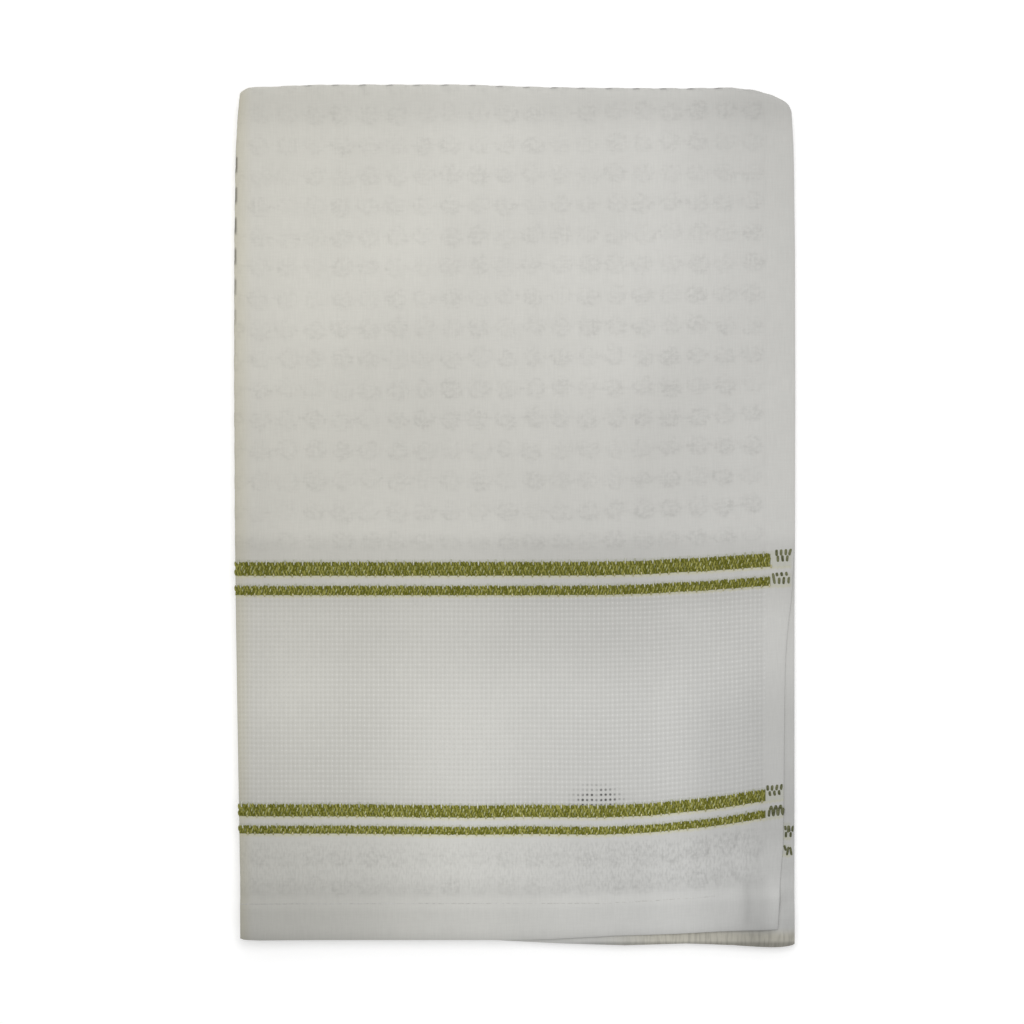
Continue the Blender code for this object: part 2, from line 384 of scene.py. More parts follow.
def thickness_at(reach, end, start, rounded):
    """Share of the thickness left near a free edge, which is rounded over so many mm."""
    inward = np.clip(end - start - reach, 0, rounded) / rounded
    return 0.3 + 0.7 * np.sqrt(1 - (1 - inward) ** 2)


def kept_lines(turn, reach, every):
    """The lines that the inner face keeps: all at folds and edges, few between."""
    free = np.diff(np.where(turn > 0, -reach, reach), prepend=0, append=0)
    close = (np.abs(free[1:]) < 0.6) | (np.abs(free[:-1]) < 0.6) | (reach == 0)
    close[[0, -1]] = True
    return np.flatnonzero(close | (np.arange(len(turn)) % every == 0) | (np.abs(free[1:]) > 2))


def squares(at):
    """The faces of a grid of point numbers, with their corners in the outer face's order."""
    return np.stack([at[:-1, :-1], at[1:, :-1], at[1:, 1:], at[:-1, 1:]], -1).reshape(-1, 4)


def cloth_faces():
    """The outer face, dense, and the inner face on fewer of the same lines, with the
    narrow faces that close them along the four free edges."""
    rows, columns = len(row_turn), len(column_turn)
    grid = np.meshgrid(np.arange(rows), np.arange(columns), indexing="ij")
    turn_2, turn_1 = row_turn[grid[0]], column_turn[grid[1]]
    reach_2, reach_1 = row_reach[grid[0]], column_reach[grid[1]]
    roll = thickness_at(reach_1, FOLDED_WIDTH, SIDE_START, SELVEDGE_ROUND) * \
        thickness_at(reach_2, FOLDED_LENGTH, TOP_START, HEM_ROUND)
    outer_up = turn_1 * turn_2 > 0      # the face of each ply that is rounded off
    outer = lay(turn_1, reach_1, turn_2, reach_2,
                CLOTH_THICK / 2 * np.where(outer_up, 2 * roll - 1, 1), relief=True)
    inner = lay(turn_1, reach_1, turn_2, reach_2,
                -CLOTH_THICK / 2 * np.where(outer_up, 1, 2 * roll - 1))

    inner_rows = kept_lines(row_turn, row_reach, INNER_EVERY)
    inner_columns = kept_lines(column_turn, column_reach, INNER_EVERY)
    outer_at = np.arange(rows * columns).reshape(rows, columns)
    pick = np.ix_(inner_rows, inner_columns)
    inner_at = np.full((rows, columns), -1)
    inner_at[pick] = rows * columns + np.arange(inner_at[pick].size).reshape(inner_at[pick].shape)
    faces = squares(outer_at).tolist()
    outer_count = len(faces)
    faces += squares(inner_at[pick])[:, [0, 3, 2, 1]].tolist()      # turned over
    for outer_line, inner_line, stops, flip in (
            (outer_at[0], inner_at[0], inner_columns, False),
            (outer_at[-1], inner_at[-1], inner_columns, True),
            (outer_at[:, 0], inner_at[:, 0], inner_rows, True),
            (outer_at[:, -1], inner_at[:, -1], inner_rows, False)):
        for first, last in zip(stops, stops[1:]):
            ring = [*outer_line[first:last + 1].tolist(),
                    int(inner_line[last]), int(inner_line[first])]
            faces.append(ring[::-1] if flip else ring)
    values = [np.concatenate([o.ravel(), i[pick].ravel()]) for o, i in zip(outer, inner)]
    return values, faces, np.arange(len(faces)) < outer_count


def plain_object(name, data):
    ob = bpy.data.objects.new(name, data)
    bpy.context.scene.collection.objects.link(ob)
    return ob


def towel_object():
    (x, y, z, u, v, puff_shade, recess_shade), faces, is_outer = cloth_faces()
    mesh = bpy.data.meshes.new("towel_cloth_woven")
    mesh.from_pydata((np.stack([x, y, z], -1) * MM).tolist(), [], faces)
    corner = np.zeros(len(mesh.loops), np.int32)
    mesh.loops.foreach_get("vertex_index", corner)
    uv = mesh.uv_layers.new(name="cloth_place")
    uv.uv.foreach_set("vector", (np.stack([u, v], -1) * MM)[corner].astype(np.float32).ravel())
    for name, kind, domain, values in (("puff_shade", "FLOAT", "POINT", puff_shade.astype(np.float32)),
                                       ("recess_shade", "FLOAT", "POINT", recess_shade.astype(np.float32)),
                                       ("outer", "BOOLEAN", "FACE", is_outer)):
        mesh.attributes.new(name, kind, domain).data.foreach_set("value", values)
    mesh.shade_smooth()
    mesh.set_sharp_from_angle(angle=math.radians(SHARP_ANGLE))
    return plain_object("towel_cloth_woven", mesh)


def node(tree, kind, sources=(), output=0, **settings):
    """An output of a new node. Its settings are made first, then each input is joined to
    a value of the tree or set."""
    made = tree.nodes.new(kind)
    for name, setting in settings.items():
        setattr(made, name, setting)
    for name, source in dict(sources).items():
        if isinstance(source, Value):
            tree.links.new(source.socket, made.inputs[name])
        else:
            made.inputs[name].default_value = source
    return Value(tree, made.outputs[output])


def calc(tree, operation, *sources):
    return node(tree, "ShaderNodeMath", enumerate(sources), operation=operation)


def sign_for(operation, swapped=False):
    """A sign of arithmetic between two values: it adds a Math node."""
    def sign(self, other=0.0):
        return calc(self.tree, operation, *((other, self) if swapped else (self, other)))
    return sign


class Value:
    """A value in a node tree, which sums are written with as with any number."""

    def __init__(self, tree, socket):
        self.tree, self.socket = tree, socket

    __add__, __sub__, __rsub__ = sign_for("ADD"), sign_for("SUBTRACT"), sign_for("SUBTRACT", True)
    __mul__, __rmul__, __truediv__ = sign_for("MULTIPLY"), sign_for("MULTIPLY"), sign_for("DIVIDE")
    __pow__, __mod__, __abs__ = sign_for("POWER"), sign_for("MODULO"), sign_for("ABSOLUTE")

    def slope(self, start, end, low=0.0, high=1.0):
        """A soft slope from low to high while the value goes from start to end."""
        return node(self.tree, "ShaderNodeMapRange", {0: self, 1: start, 2: end, 3: low, 4: high},
                    interpolation_type="SMOOTHSTEP")

    def parts(self):
        """x, y and z of a vector."""
        made = self.tree.nodes.new("ShaderNodeSeparateXYZ")
        self.tree.links.new(self.socket, made.inputs[0])
        return [Value(self.tree, socket) for socket in made.outputs]


def vector(tree, x=0.0, y=0.0, z=0.0):
    return node(tree, "ShaderNodeCombineXYZ", {0: x, 1: y, 2: z})


def distance(a, b):
    return calc(a.tree, "SQRT", a * a + b * b)


def noise(place, scale, detail=2.0):
    return node(place.tree, "ShaderNodeTexNoise",
                {"Vector": place, "Scale": scale, "Detail": detail})


def grain(u, v, across, down, detail=2.0):
    """A noise on the cloth whose grain is across mm wide and down mm long."""
    return noise(vector(u.tree, u / across, v / down), 1.0, detail)


def mix(share, first, second, blend="MIX"):
    return node(share.tree, "ShaderNodeMix", {0: share, 6: first, 7: second}, output=2,
                data_type="RGBA", blend_type=blend)


def cloth_shader(name, rough=0.92, sheen=0.12, gloss=0.25):
    """A material, its tree and its Principled node, matt and a little fluffy."""
    material = bpy.data.materials.new(name)
    material.use_nodes = True
    shader = material.node_tree.nodes["Principled BSDF"]
    for socket, amount in (("Roughness", rough), ("Specular IOR Level", gloss),
                           ("Sheen Weight", sheen), ("Sheen Roughness", 0.6)):
        shader.inputs[socket].default_value = amount
    return material, material.node_tree, shader


def paint(shader, colour, relief, strength, depth):
    """Gives a shader its colour and its bump."""
    bump = node(colour.tree, "ShaderNodeBump", {"Height": relief, "Strength": strength,
                                                "Distance": depth})
    colour.tree.links.new(colour.socket, shader.inputs["Base Color"])
    colour.tree.links.new(bump.socket, shader.inputs["Normal"])


# Painted light and shade over the towel and all its pieces: from one x to another (or everywhere),
# and from one y to another, it is painted so much less bright, as shade; a share below 0 paints it
# brighter, as light. These are in metres, from the towel's middle.
PaintedLight = namedtuple("PaintedLight", "x_from x_to y_from y_to less")
ALL_ALONG = (-1.0, -0.9)
PAINTED_LIGHT = [PaintedLight(*row) for row in (
    (-0.010, -0.118, -0.040, -0.170, 0.28),     # the lower left corner
    (-0.080, -0.101, *ALL_ALONG, 0.03),         # along the side fold
    (-0.080, -0.101, 0.060, 0.030, 0.03),
    (-0.080, -0.101, -0.005, -0.030, -0.03),
    (*ALL_ALONG, 0.141, 0.155, 0.080),          # along the top fold
    (0.045, 0.106, 0.030, 0.075, 0.09),         # the fold's open end
    (0.045, 0.106, 0.075, 0.140, 0.05),
    (*ALL_ALONG, 0.100, 0.030, 0.07),           # across the middle
    (-0.020, 0.010, 0.050, 0.038, 0.03),
    (0.045, 0.060, 0.050, 0.038, -0.02),
    (*ALL_ALONG, -0.005, -0.013, 0.10),
    (*ALL_ALONG, -0.024, -0.040, -0.13),
    (*ALL_ALONG, -0.040, -0.072, -0.11),
    (-0.060, -0.020, -0.040, -0.080, -0.03),
    (0.080, 0.095, -0.040, -0.065, 0.08),       # the lower end of the selvedge
    (0.055, 0.080, -0.052, -0.078, 0.14),
    (0.092, 0.098, -0.132, -0.140, -0.14),
    (0.045, 0.070, -0.116, -0.128, -0.05),
    (0.1007, 0.1017, -0.090, -0.100, 0.05),     # the second ply beside the front one
    (*ALL_ALONG, -0.100, -0.108, 0.04),         # below the lower stripes
    (*ALL_ALONG, -0.118, -0.126, -0.04),
    (*ALL_ALONG, -0.132, -0.146, 0.10),         # along the hem
    (*ALL_ALONG, -0.153, -0.160, 0.06),
    (0.000, 0.025, -0.134, -0.146, -0.07),
    (0.080, 0.088, -0.134, -0.146, 0.07),
    (0.010, 0.035, -0.1594, -0.1609, 0.36),     # the second ply's edge
    (0.098, 0.101, -0.153, -0.157, -0.06),
    (0.070, 0.095, -0.145, -0.155, 0.10),
)]
COOLER = (0.99, 1.0, 1.02, 1)


def painted_light(tree, colour, tone=1.0):
    """A colour times a tone, and times the painted light and shade; below the middle it is a
    little cooler.
    """
    x, y, _ = node(tree, "ShaderNodeTexCoord", output="Object").parts()
    for spot in PAINTED_LIGHT:
        here = x.slope(spot.x_from, spot.x_to) * y.slope(spot.y_from, spot.y_to)
        tone = tone * (1 - here * spot.less)
    colour = mix(y.slope(0.03, -0.15), colour, COOLER, "MULTIPLY")
    return node(tree, "ShaderNodeVectorMath", {0: colour, "Scale": tone}, operation="SCALE")


# The pattern that is woven in, as v of its edges, and the places of the band's blocks
STRIPES = ((179.35, 184.6), (188.25, 191.9), (270.4, 275.1), (278.45, 281.55))
BAND = (191.9, 270.5)
BLOCK_COLUMNS, BLOCK_ROWS = 116, 41
BLOCK_WIDTH, BLOCK_HEIGHT = 1.726, 1.9065
BLOCK_START = (-0.25, 192.2)    # the corner of the first block
HOLE_U, HOLE_V, HOLE_SIZE = 136.3, 270.6, (10.4, 7.8)    # where the holes are worn open

# The cotton is an unbleached white, warmer towards the side fold and cooler at the selvedge; on
# the rounding of the side fold it is painted darker and yellower, as painted shade. Fine streaks
# follow the warp, fainter ones the weft.
WARM_WHITE, COOL_WHITE = (0.625, 0.612, 0.556, 1), (0.61, 0.605, 0.578, 1)
FOLD_SHADE_WHITE, HEM_SHADOW_BROWN = (0.60, 0.575, 0.475, 1), (0.99, 0.955, 0.85, 1)
EDGE_SHADE_GREY, SHOWING, RUN = (0.40, 0.41, 0.32, 1), (0.46, 0.47, 0.30, 1), (0.63, 0.605, 0.39, 1)
OLIVE_GROUND = (0.145, 0.148, 0.018, 1)
YARN_ACROSS, YARN_DOWN = 0.43, 0.477


def towel_material():
    material, tree, shader = cloth_shader("woven cotton")
    u, v, _ = node(tree, "ShaderNodeUVMap", uv_map="cloth_place").parts()
    u, v = u * (1 / MM), v * (1 / MM)
    u_size = abs(u)
    puff_shade, recess_shade = (node(tree, "ShaderNodeAttribute", output="Fac", attribute_name=name)
                     for name in ("puff_shade", "recess_shade"))

    # tone: painted shade on the side fold, the cooler selvedge, blotches and streaks along the
    # yarns
    colour = mix(u_size.slope(0.0, 200.0), WARM_WHITE, COOL_WHITE)
    colour = mix(u_size.slope(8.0, 0.0), colour, FOLD_SHADE_WHITE)
    warp, weft = grain(u, v, 0.5, 7.0), grain(u, v, 6.0, 0.55)
    tone = grain(u, v, 60, 80, 3.0).slope(0.3, 0.7, 0.965, 1.03)
    tone = tone * warp.slope(0.25, 0.75, 0.975, 1.02) * weft.slope(0.25, 0.75, 0.985, 1.015)
    # painted shade of the puffs, speckled, then of the open recesses and the creases
    speckled_puff_shade = puff_shade * grain(u, v, 1.6, 1.3, 3.0).slope(0.36, 0.64, 0.10, 1.0)
    tone = tone * (1 - speckled_puff_shade * 0.13) * (1 - recess_shade * 0.6)

    # below the stripes, towards the selvedge, the cloth is puckered and more uneven, and the
    # puckers' shade is painted in as fine darker streaks
    rough = v.slope(LOWER_START - 1, LOWER_START + 1) * u_size.slope(110.0, 150.0, 0.6, 1.0)
    rough = rough * v.slope(LOWER_END + 1, LOWER_END - 7) * u_size.slope(201.0, 190.0, 0.2, 1.0)
    tone = tone * (1 - rough * grain(u, v, 0.75, 2.2).slope(0.40, 0.66) * 0.125)

    # the second ply's hem shows below the front one, with the front hem's shadow painted on it,
    # browner and darker, and painted shade of small creases across its edge
    hem_shadow_strip = u.slope(-130.0, -165.0) * v.slope(308.5, 312.5)
    tone = tone * (1 - hem_shadow_strip * grain(u, v, 1.3, 9.0).slope(0.42, 0.66) * 0.20)
    colour = mix(hem_shadow_strip, colour, HEM_SHADOW_BROWN, "MULTIPLY")

    # between the blocks of the even-weave band the cloth is open, and most open in one place; the
    # gaps and the holes at the blocks' corners are painted dark, as the shade that shows through
    # them
    in_band = v.slope(BAND[0] - 0.3, BAND[0] + 0.3) * v.slope(BAND[1] + 0.3, BAND[1] - 0.3)
    in_band = in_band * u_size.slope(199.0, 198.0)
    corner = distance(*(calc(tree, "PINGPONG", place - start, size / 2) for place, start, size in (
        (u, BLOCK_START[0], BLOCK_WIDTH), (v, BLOCK_START[1], BLOCK_HEIGHT))))
    away = distance((u - HOLE_U) / HOLE_SIZE[0], (v - HOLE_V) / HOLE_SIZE[1])
    open_here = away.slope(1.3, 0.5) * grain(u, v, 2.6, 2.9, 1.0).slope(0.32, 0.62, 0.25, 1.0)
    hole = corner.slope(0.66, 0.28) * (open_here * 0.80 + 0.07) * in_band
    tone = tone * (1 - in_band * 0.045) * (1 - hole)

    # the olive weft lies in the cloth under its floats, on both faces, and in the selvedge it
    # tints the cotton; just above a stripe the cotton is painted greyer, as painted shade along
    # its upper edge, and under it some colour has run
    inside = (u_size - v.slope(230.0, 240.0, 201.4, 199.6)).slope(0.3, -0.3)
    beyond = (1 - inside) * u_size.slope(210.0, 208.5)
    ragged = grain(u, v, 0.7, 30.0, 1.0) * 1.6 - 0.8
    for start, end in STRIPES:
        tall = end - start
        shown = beyond * u.slope(180.0, 190.0) if start < BAND[0] else beyond
        from_top = v - start + ragged
        under = (tall - 0.3, tall + 0.2), (tall + 1.5, tall + 0.3)
        for share, tint, where, (top, low) in (
                (0.30, EDGE_SHADE_GREY, inside, ((-1.3, -0.2), (0.3, 0.1))),
                (0.26, SHOWING, shown, ((-1.2, -0.4), (tall + 1.2, tall + 0.4))),
                (0.60, RUN, inside, under), (0.30, RUN, shown, under)):
            here = from_top.slope(*top) * from_top.slope(*low) * where
            colour = mix(here * share, colour, tint)
        stripe = from_top.slope(-0.1, 0.5) * v.slope(end + 0.15, end - 0.25) * inside
        colour = mix(stripe, colour, OLIVE_GROUND)

    # bump: single yarns, uneven
    over = calc(tree, "SINE", u * (math.tau / YARN_ACROSS)) * \
        calc(tree, "SINE", v * (math.tau / YARN_DOWN))
    paint(shader, painted_light(tree, colour, tone), over * 0.25 + warp * 1.2 + weft, 0.13, 0.00012)
    return material


towel = towel_object()
towel.data.materials.append(towel_material())
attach(towel, "root")
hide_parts("towel_cloth")


# ------------------------------------------------------------------ blocks of the band
# Between the pairs of stripes runs an even-weave band for counted stitching: square cotton blocks,
# about 14 to the inch, that stand a little above the ground, with a small gap at each corner,
# where the cloth below is painted dark as shade. In one place they are worn smaller and the gaps
# are wider.

BLOCK_LOFT, BLOCK_GAPS = 0.10, (0.18, 0.04)
BLOCK_STRAY = (0.05, 0.06)
BLOCK_POINTS = 5                # mesh lines each way on a block
SOCKET_KINDS = {bool: "Bool", int: "Int", float: "Float", tuple: "Vector"}


def new_tree(name, **inputs):
    """A Geometry Nodes tree and its named inputs, each with a first value or its kind."""
    tree = bpy.data.node_groups.new(name, "GeometryNodeTree")
    tree.interface.new_socket("Geometry", in_out="OUTPUT", socket_type="NodeSocketGeometry")
    for title, first in inputs.items():
        kind = first if isinstance(first, str) else SOCKET_KINDS[type(first)]
        socket = tree.interface.new_socket(title, in_out="INPUT", socket_type="NodeSocket" + kind)
        if kind != first:
            socket.default_value = first
    entry = tree.nodes.new("NodeGroupInput")
    return tree, SimpleNamespace(**{title: Value(tree, entry.outputs[title]) for title in inputs})


def end_tree(geometry):
    geometry.tree.links.new(geometry.socket,
                            geometry.tree.nodes.new("NodeGroupOutput").inputs[0])
    return geometry.tree


def random_value(tree, seed, low, high):
    """A chance number, or vector, from low to high for each point."""
    if isinstance(low, float):
        return node(tree, "FunctionNodeRandomValue", {2: low, 3: high, "Seed": seed},
                    output=1, data_type="FLOAT")
    return node(tree, "FunctionNodeRandomValue", {"Min": low, "Max": high, "Seed": seed},
                data_type="FLOAT_VECTOR")


def laying_group():
    """Takes pieces made flat, at x = u, y = -v and z above the cloth, to their places."""
    tree, take = new_tree("lay on the cloth", flat="Geometry", cloth="Object", wrong_side=False)
    cloth = node(tree, "GeometryNodeObjectInfo", {"Object": take.cloth}, output="Geometry",
                 transform_space="RELATIVE")
    outer = node(tree, "GeometryNodeInputNamedAttribute", {"Name": "outer"}, data_type="BOOLEAN")
    wanted = node(tree, "FunctionNodeBooleanMath", {0: outer, 1: take.wrong_side}, operation="XOR")
    face = node(tree, "GeometryNodeSeparateGeometry", {0: cloth, 1: wanted}, domain="FACE")
    place = node(tree, "GeometryNodeInputNamedAttribute", {"Name": "cloth_place"},
                 data_type="FLOAT_VECTOR")
    x, y, z = node(tree, "GeometryNodeInputPosition").parts()
    there, outwards = (node(tree, "GeometryNodeSampleUVSurface", {
        "Mesh": face, "Value": node(tree, kind), "UV Map": place,
        "Sample UV": vector(tree, x, y * -1.0)}, output="Value", data_type="FLOAT_VECTOR")
        for kind in ("GeometryNodeInputPosition", "GeometryNodeInputNormal"))
    lift = node(tree, "ShaderNodeVectorMath", {0: outwards, "Scale": z}, operation="SCALE")
    there = node(tree, "ShaderNodeVectorMath", {0: there, 1: lift}, operation="ADD")
    return end_tree(node(tree, "GeometryNodeSetPosition", {"Geometry": take.flat,
                                                           "Position": there}))


lay_on_cloth = laying_group()


def laid(take, pieces, shade_seed, **inputs):
    """Instances made single, each with a shade of its own, and laid on the cloth."""
    tree = pieces.tree
    pieces = node(tree, "GeometryNodeStoreNamedAttribute", {
        "Geometry": pieces, "Name": "shade", "Value": random_value(tree, shade_seed, 0.0, 1.0)},
        data_type="FLOAT", domain="INSTANCE")
    return node(tree, "GeometryNodeGroup", {
        "flat": node(tree, "GeometryNodeRealizeInstances", {0: pieces}), "cloth": take.cloth,
        **inputs}, node_tree=lay_on_cloth)


def finished(take, pieces):
    smooth = node(pieces.tree, "GeometryNodeSetShadeSmooth", {"Geometry": pieces,
                                                              "Shade Smooth": True})
    return end_tree(node(pieces.tree, "GeometryNodeSetMaterial", {"Geometry": smooth,
                                                                  "Material": take.material}))


def grown(name, tree, **values):
    """A plain mesh object grown by a tree with these values of its named inputs."""
    ob = plain_object(name + "_grown", bpy.data.meshes.new(name + "_start"))
    modifier = ob.modifiers.new("grow", "NODES")
    modifier.node_group = tree
    for item in tree.interface.items_tree:
        if item.item_type == "SOCKET" and item.in_out == "INPUT" and item.name in values:
            modifier[item.identifier] = values[item.name]
    bpy.context.view_layer.update()
    mesh = bpy.data.meshes.new_from_object(ob.evaluated_get(bpy.context.evaluated_depsgraph_get()))
    mesh.name = name
    ob.modifiers.clear()
    bpy.data.objects.remove(ob)
    return plain_object(name, mesh)


def block_tree():
    tree, take = new_tree(
        "even weave blocks", cloth="Object", columns=10, rows=10, first_u=0.0, first_v=0.0,
        width=0.0017, height=0.0019, loft=0.0003, gap_u=0.0002, gap_v=0.0001,
        stray=(0.0, 0.0, 0.0), hole=(0.0, 0.0, 0.0), hole_u=0.01, hole_v=0.01, seed=1,
        material="Material")
    # where the blocks lie
    reach_u, reach_v = (take.columns - 1.0) * take.width, (take.rows - 1.0) * take.height
    points = node(tree, "GeometryNodeMeshGrid", {
        "Size X": reach_u, "Size Y": reach_v, "Vertices X": take.columns,
        "Vertices Y": take.rows})
    middle = vector(tree, reach_u * 0.5 + take.first_u, (reach_v * 0.5 + take.first_v) * -1.0)
    back = node(tree, "ShaderNodeVectorMath", {0: take.stray, "Scale": -1.0}, operation="SCALE")
    points = node(tree, "GeometryNodeSetPosition", {
        "Geometry": node(tree, "GeometryNodeTransform", {0: points, "Translation": middle}),
        "Offset": random_value(tree, take.seed, back, take.stray)})
    # one block: a soft square pad, drawn in at its corners
    wide, high = take.width - take.gap_u, take.height - take.gap_v
    pad = node(tree, "GeometryNodeMeshGrid", {"Size X": wide, "Size Y": high,
               "Vertices X": BLOCK_POINTS, "Vertices Y": BLOCK_POINTS})
    x, y, _ = node(tree, "GeometryNodeInputPosition").parts()
    half_wide, half_high = wide * 0.5, high * 0.5
    x, y = (calc(tree, "SIGN", flat) * (abs(flat / half) ** 0.3 * half)
            for flat, half in ((x, half_wide), (y, half_high)))
    s, t = (x / half_wide) ** 2.0, (y / half_high) ** 2.0
    drawn = s * t * -0.16 + 1.0
    domed = calc(tree, "MAXIMUM", (1.0 - s) * (1.0 - t), 0.0) ** 0.35
    pad = node(tree, "GeometryNodeSetPosition", {"Geometry": pad, "Position": vector(
        tree, x * drawn, y * drawn, domed * take.loft - 0.00008)})
    # smaller blocks where the holes are open
    off = node(tree, "ShaderNodeVectorMath", {0: node(tree, "GeometryNodeInputPosition"),
               1: take.hole}, operation="SUBTRACT")
    off_u, off_v, _ = off.parts()
    away = distance(off_u / take.hole_u, off_v / take.hole_v)
    uneven = random_value(tree, take.seed + 1.0, (0.93, 0.93, 0.75), (1.04, 1.03, 1.15))
    pads = node(tree, "GeometryNodeInstanceOnPoints", {
        "Points": points, "Instance": pad, "Scale": node(tree, "ShaderNodeVectorMath", {
            0: uneven, "Scale": away.slope(1.2, 0.7, 1.0, 0.84)}, operation="SCALE")})
    return finished(take, laid(take, pads, take.seed + 2.0))


def band_material():
    """As the cotton, a little whiter, with a tone of its own for each block."""
    material, tree, shader = cloth_shader("even weave cotton", rough=0.9)
    shade = node(tree, "ShaderNodeAttribute", output="Fac", attribute_name="shade")
    place = node(tree, "ShaderNodeTexCoord", output="Object")
    fine = noise(place, 2600.0)
    tone = noise(place, 16.0, 3.0).slope(0.3, 0.7, 0.97, 1.02) * (shade * 0.06 + 0.97)
    tone = tone * fine.slope(0.3, 0.7, 0.96, 1.03)
    x = place.parts()[0]
    colour = mix(x.slope(-0.105, 0.1), (0.645, 0.635, 0.59, 1), (0.635, 0.632, 0.607, 1))
    # painted shade along the side fold's rounding, darker and yellower, as on the cotton
    colour = mix(x.slope(-0.097, -0.105), colour, (0.60, 0.58, 0.49, 1))
    paint(shader, painted_light(tree, colour, tone), fine, 0.3, 0.0001)
    return material


blocks = grown(
    "even_weave_blocks", block_tree(), cloth=towel, columns=BLOCK_COLUMNS, rows=BLOCK_ROWS,
    width=BLOCK_WIDTH * MM, height=BLOCK_HEIGHT * MM,
    first_u=(BLOCK_START[0] + BLOCK_WIDTH / 2) * MM,
    first_v=(BLOCK_START[1] + BLOCK_HEIGHT / 2) * MM, loft=BLOCK_LOFT * MM,
    gap_u=BLOCK_GAPS[0] * MM, gap_v=BLOCK_GAPS[1] * MM,
    stray=(BLOCK_STRAY[0] * MM, BLOCK_STRAY[1] * MM, 0.0),
    hole=(HOLE_U * MM, -HOLE_V * MM, 0.0), hole_u=HOLE_SIZE[0] * MM, hole_v=HOLE_SIZE[1] * MM,
    seed=5, material=band_material())
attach(blocks, "root")


# ------------------------------------------------------------------ olive stripes
# Two pairs of stripes, a thick one and a thin one, of olive weft brocaded over the cotton.
# The weft slants over the warp ends in close short floats, one way in one row of them and
# the other way in the next, so the stripes' edges are ragged.

FLOAT_PITCH, FLOAT_LENGTH, FLOAT_WIDTH = 1.15, 2.2, 0.72
YARN_SIDES, YARN_POINTS = 6, 5
Stripe = namedtuple("Stripe", "start end rows side seed")
OLIVE_STRIPES = [Stripe(*edges, *row) for edges, row in zip(
    STRIPES, ((3, 201.0, 11), (2, 200.6, 23), (3, 199.4, 37), (2, 199.0, 41)))]


def yarn_tree():
    """Short lengths of yarn in rows: each arches over the cloth and dips in at its ends.
    Every other row is shifted, by a share of the pitch, and leans the other way."""
    tree, take = new_tree(
        "short floats of yarn", cloth="Object", columns=4, rows=1, first_u=0.0, first_v=0.0,
        pitch_u=0.003, pitch_v=0.001, row_shift=0.5, length=0.003, turn=0.0, row_turn=0.0,
        width=0.0005, thickness=0.6, arch=0.0002, sink=0.0001, stray=0.0001,
        wrong_side=False, seed=1, material="Material")
    index = node(tree, "GeometryNodeInputIndex")
    row = index % take.rows
    column = calc(tree, "FLOOR", (index + 0.5) / take.rows)
    odd = row % 2.0
    side = odd * -2.0 + 1.0
    u = (odd * take.row_shift + column) * take.pitch_u + take.first_u
    v = row * take.pitch_v + take.first_v
    less = take.stray * -1.0
    stray = random_value(tree, take.seed, vector(tree, less, less * 0.5),
                         vector(tree, take.stray, take.stray * 0.5))
    flat = node(tree, "ShaderNodeVectorMath", {0: vector(tree, u, v * -1.0), 1: stray},
                operation="ADD")
    points = node(tree, "GeometryNodePoints", {"Count": take.columns * take.rows,
                                               "Position": flat})
    # one length of yarn
    line = node(tree, "GeometryNodeResampleCurve", {
        "Curve": node(tree, "GeometryNodeCurvePrimitiveLine", {
            "Start": vector(tree, take.length * -0.5), "End": vector(tree, take.length * 0.5)}),
        "Count": YARN_POINTS})
    bow = (node(tree, "GeometryNodeSplineParameter") * 2.0 - 1.0) ** 2.0
    arch = (1.0 - bow) * take.arch - bow ** 3.0 * take.sink
    line = node(tree, "GeometryNodeSetPosition", {"Geometry": line,
                                                  "Offset": vector(tree, 0.0, 0.0, arch)})
    line = node(tree, "GeometryNodeSetCurveRadius", {"Curve": line,
                                                     "Radius": bow ** 3.0 * -0.45 + 1.0})
    wobble = random_value(tree, take.seed + 1.0, -0.05, 0.05)
    yarns = node(tree, "GeometryNodeInstanceOnPoints", {
        "Points": points, "Instance": line,
        "Scale": random_value(tree, take.seed + 2.0, (0.92, 1.0, 0.7), (1.05, 1.0, 1.25)),
        "Rotation": vector(tree, 0.0, 0.0, take.row_turn * side + take.turn + wobble)})
    profile = node(tree, "GeometryNodeTransform", {
        0: node(tree, "GeometryNodeCurvePrimitiveCircle", {
            "Resolution": YARN_SIDES, "Radius": take.width * 0.5}),
        "Scale": vector(tree, 1.0, take.thickness, 1.0)})
    return finished(take, node(tree, "GeometryNodeCurveToMesh", {
        "Curve": laid(take, yarns, take.seed + 3.0, wrong_side=take.wrong_side),
        "Profile Curve": profile, "Fill Caps": True}))


floats = yarn_tree()


def grown_yarns(name, material, first, pitch_u, length, width, **values):
    """Rows of short yarns; first is the u and v of the first one, and sizes are in mm."""
    for size in ("pitch_v", "arch", "sink", "stray"):
        if size in values:
            values[size] *= MM
    return grown(name, floats, cloth=towel, material=material, first_u=first[0] * MM,
                 first_v=first[1] * MM, pitch_u=pitch_u * MM, length=length * MM,
                 width=width * MM, **values)


def joined(name, objects):
    """One object of several plain meshes, which share one material."""
    whole = bmesh.new()
    for ob in objects:
        whole.from_mesh(ob.data)
    mesh = bpy.data.meshes.new(name)
    whole.to_mesh(mesh)
    whole.free()
    mesh.materials.append(objects[0].data.materials[0])
    for ob in objects:
        bpy.data.objects.remove(ob)
    return plain_object(name, mesh)


def yarn_material(name, dark, light, rough=0.85, sheen=0.1, gloss=0.25):
    """A spun yarn, from dark to light by its own shade and by fine fluff."""
    material, tree, shader = cloth_shader(name, rough, sheen, gloss)
    shade = node(tree, "ShaderNodeAttribute", output="Fac", attribute_name="shade")
    fine = noise(node(tree, "ShaderNodeTexCoord", output="Object"), 1400.0, 3.0)
    share = node(tree, "ShaderNodeMath", {0: shade * 0.7, 1: fine.slope(0.35, 0.65, -0.15, 0.45)},
                 operation="ADD", use_clamp=True)
    paint(shader, painted_light(tree, mix(share, dark, light)), fine, 0.4, 0.0001)
    return material


